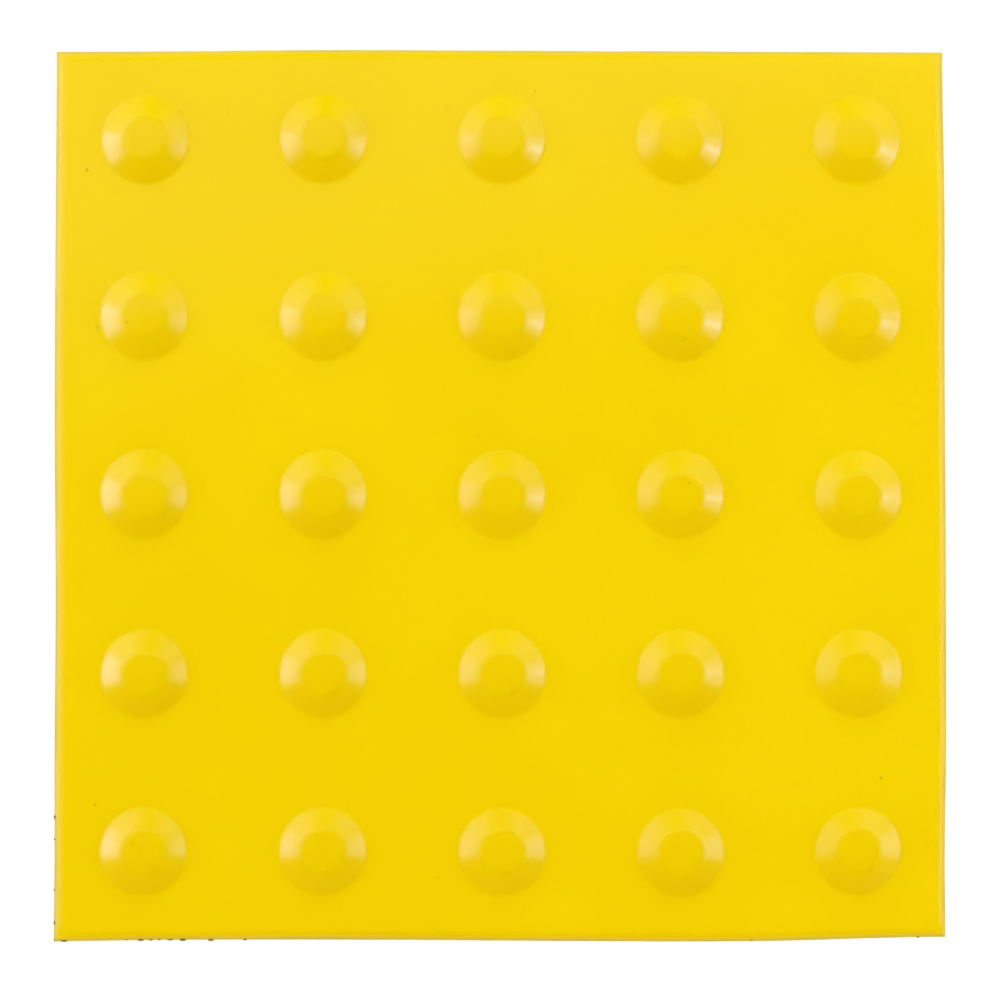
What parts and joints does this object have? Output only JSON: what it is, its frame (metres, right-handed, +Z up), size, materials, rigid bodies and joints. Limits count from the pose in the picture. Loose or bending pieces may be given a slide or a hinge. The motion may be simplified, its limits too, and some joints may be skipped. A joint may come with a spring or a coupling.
{
  "type": "tactile paving slab",
  "caption": "Thin square moulded rubber paving slab with a flat underside and a square grid of truncated cones that warns people on foot by touch and by its yellow colour.",
  "frame": {"origin": "centre of the flat underside", "axes": "+Z up, out of the domed face; X and Y along the slab's sides"},
  "size_m": [0.25, 0.25, 0.007],
  "materials": {
    "yellow_rubber": "satin"
  },
  "bodies": {
    "root": {"tactile_slab": "yellow_rubber"}
  },
  "joints": []
}
